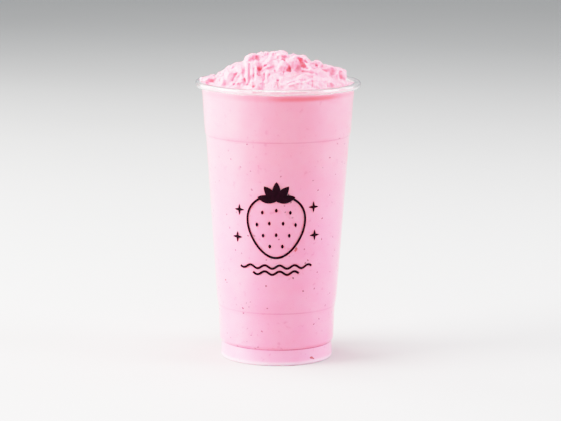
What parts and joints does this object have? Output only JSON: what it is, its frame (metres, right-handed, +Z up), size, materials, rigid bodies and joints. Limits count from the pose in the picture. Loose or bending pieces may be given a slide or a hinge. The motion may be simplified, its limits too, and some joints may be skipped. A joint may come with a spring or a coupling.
{
  "type": "strawberry milkshake",
  "caption": "Tall tapering clear plastic cup with a rolled rim, filled with pink strawberry milkshake that stands in a ragged, folded heap above the rim.",
  "frame": {"origin": "middle of the cup's foot, in the plane of the table", "axes": "+Z up along the cup's axis, -Y towards the front with the print, +X to the right seen from the front"},
  "size_m": [0.107, 0.107, 0.2008],
  "materials": {
    "clear_pet": "clear and glossy, thermoformed",
    "strawberry_milkshake": "opaque, soft, slightly moist"
  },
  "bodies": {
    "root": {"cup": "clear_pet", "milkshake": "strawberry_milkshake"}
  },
  "joints": []
}
